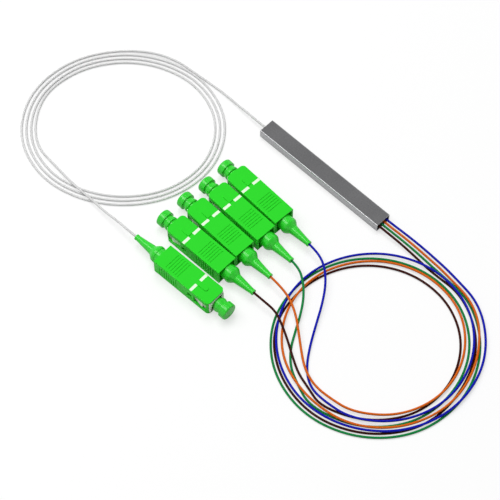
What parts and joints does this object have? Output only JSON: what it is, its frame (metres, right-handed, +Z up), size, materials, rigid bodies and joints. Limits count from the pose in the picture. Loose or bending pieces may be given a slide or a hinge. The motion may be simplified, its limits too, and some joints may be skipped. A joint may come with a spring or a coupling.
{
  "type": "plc fibre splitter",
  "caption": "Slim steel splitter module with an input pigtail and colour-coded output pigtails, coiled loosely, each ending in a green push-pull connector with a dust cap.",
  "frame": {"origin": "under the middle of the steel sleeve, on the surface that everything lies on", "axes": "+X along the sleeve towards its output end, +Y away from the connectors, +Z up"},
  "size_m": [0.2071, 0.0794, 0.0077],
  "materials": {
    "brushed_steel": "matt brushed",
    "grey_resin": "matt",
    "optical_glass": "polished",
    "coated_fibre": "satin",
    "green_plastic": "satin, moulded",
    "white_plastic": "satin, moulded",
    "green_elastomer": "soft satin",
    "white_ceramic": "polished",
    "nickel_metal": "plated",
    "spring_steel": "bright drawn",
    "blue_jacket": "satin",
    "orange_jacket": "satin",
    "green_jacket": "satin",
    "brown_jacket": "satin",
    "white_jacket": "satin",
    "mixed_jackets": "satin"
  },
  "bodies": {
    "module": {"steel_sleeve": "brushed_steel", "input_seal": "grey_resin", "output_seal": "grey_resin", "input_fibre_block": "optical_glass", "splitter_chip": "optical_glass", "output_fibre_array": "optical_glass", "input_bare_fibre": "coated_fibre", "output_fibre_ribbon": "coated_fibre", "input_coil": "white_jacket", "output_coil": "mixed_jackets", "blue_plug_frame": "white_plastic", "blue_ferrule_spring": "spring_steel", "blue_rear_body": "nickel_metal", "blue_boot": "green_elastomer", "blue_cord_start": "blue_jacket", "blue_cord_end": "blue_jacket", "green_plug_frame": "white_plastic", "green_ferrule_spring": "spring_steel", "green_rear_body": "nickel_metal", "green_boot": "green_elastomer", "green_cord_start": "green_jacket", "green_cord_end": "green_jacket", "orange_plug_frame": "white_plastic", "orange_ferrule_spring": "spring_steel", "orange_rear_body": "nickel_metal", "orange_boot": "green_elastomer", "orange_cord_start": "orange_jacket", "orange_cord_end": "orange_jacket", "brown_plug_frame": "white_plastic", "brown_ferrule_spring": "spring_steel", "brown_rear_body": "nickel_metal", "brown_boot": "green_elastomer", "brown_cord_start": "brown_jacket", "brown_cord_end": "brown_jacket", "input_plug_frame": "white_plastic", "input_ferrule_spring": "spring_steel", "input_rear_body": "nickel_metal", "input_boot": "green_elastomer", "input_cord_start": "white_jacket", "input_cord_end": "white_jacket"},
    "blue_grip": {"blue_grip": "green_plastic"},
    "blue_ferrule": {"blue_ferrule": "white_ceramic", "blue_ferrule_collar": "nickel_metal"},
    "blue_dust_cap": {"blue_dust_cap": "green_plastic"},
    "green_grip": {"green_grip": "green_plastic"},
    "green_ferrule": {"green_ferrule": "white_ceramic", "green_ferrule_collar": "nickel_metal"},
    "green_dust_cap": {"green_dust_cap": "green_plastic"},
    "orange_grip": {"orange_grip": "green_plastic"},
    "orange_ferrule": {"orange_ferrule": "white_ceramic", "orange_ferrule_collar": "nickel_metal"},
    "orange_dust_cap": {"orange_dust_cap": "green_plastic"},
    "brown_grip": {"brown_grip": "green_plastic"},
    "brown_ferrule": {"brown_ferrule": "white_ceramic", "brown_ferrule_collar": "nickel_metal"},
    "brown_dust_cap": {"brown_dust_cap": "green_plastic"},
    "input_grip": {"input_grip": "green_plastic"},
    "input_ferrule": {"input_ferrule": "white_ceramic", "input_ferrule_collar": "nickel_metal"},
    "input_dust_cap": {"input_dust_cap": "green_plastic"}
  },
  "joints": [
    {"name": "blue_grip_slide", "type": "slide", "parent": "module", "child": "blue_grip", "axis": [0.9991, -0.0434, 0], "range_m": [0, 0.0016]},
    {"name": "blue_ferrule_slide", "type": "slide", "parent": "module", "child": "blue_ferrule", "axis": [0.9991, -0.0434, 0], "range_m": [0, 0.0009], "stiffness_N_per_m": 2000, "deforming": ["blue_ferrule_spring"]},
    {"name": "blue_cap_pull", "type": "slide", "parent": "blue_ferrule", "child": "blue_dust_cap", "axis": [-0.9991, 0.0434, 0], "range_m": [0, 0.0029]},
    {"name": "green_grip_slide", "type": "slide", "parent": "module", "child": "green_grip", "axis": [0.9996, -0.0279, 0], "range_m": [0, 0.0016]},
    {"name": "green_ferrule_slide", "type": "slide", "parent": "module", "child": "green_ferrule", "axis": [0.9996, -0.0279, 0], "range_m": [0, 0.0009], "stiffness_N_per_m": 2000, "deforming": ["green_ferrule_spring"]},
    {"name": "green_cap_pull", "type": "slide", "parent": "green_ferrule", "child": "green_dust_cap", "axis": [-0.9996, 0.0279, 0], "range_m": [0, 0.0029]},
    {"name": "orange_grip_slide", "type": "slide", "parent": "module", "child": "orange_grip", "axis": [0.9997, -0.0255, 0], "range_m": [0, 0.0016]},
    {"name": "orange_ferrule_slide", "type": "slide", "parent": "module", "child": "orange_ferrule", "axis": [0.9997, -0.0255, 0], "range_m": [0, 0.0009], "stiffness_N_per_m": 2000, "deforming": ["orange_ferrule_spring"]},
    {"name": "orange_cap_pull", "type": "slide", "parent": "orange_ferrule", "child": "orange_dust_cap", "axis": [-0.9997, 0.0255, 0], "range_m": [0, 0.0029]},
    {"name": "brown_grip_slide", "type": "slide", "parent": "module", "child": "brown_grip", "axis": [0.9999, 0.0173, 0], "range_m": [0, 0.0016]},
    {"name": "brown_ferrule_slide", "type": "slide", "parent": "module", "child": "brown_ferrule", "axis": [0.9999, 0.0173, 0], "range_m": [0, 0.0009], "stiffness_N_per_m": 2000, "deforming": ["brown_ferrule_spring"]},
    {"name": "brown_cap_pull", "type": "slide", "parent": "brown_ferrule", "child": "brown_dust_cap", "axis": [-0.9999, -0.0173, 0], "range_m": [0, 0.0029]},
    {"name": "input_grip_slide", "type": "slide", "parent": "module", "child": "input_grip", "axis": [-0.9994, -0.0356, 0], "range_m": [0, 0.0016]},
    {"name": "input_ferrule_slide", "type": "slide", "parent": "module", "child": "input_ferrule", "axis": [-0.9994, -0.0356, 0], "range_m": [0, 0.0009], "stiffness_N_per_m": 2000, "deforming": ["input_ferrule_spring"]},
    {"name": "input_cap_pull", "type": "slide", "parent": "input_ferrule", "child": "input_dust_cap", "axis": [0.9994, 0.0356, 0], "range_m": [0, 0.0029]}
  ]
}
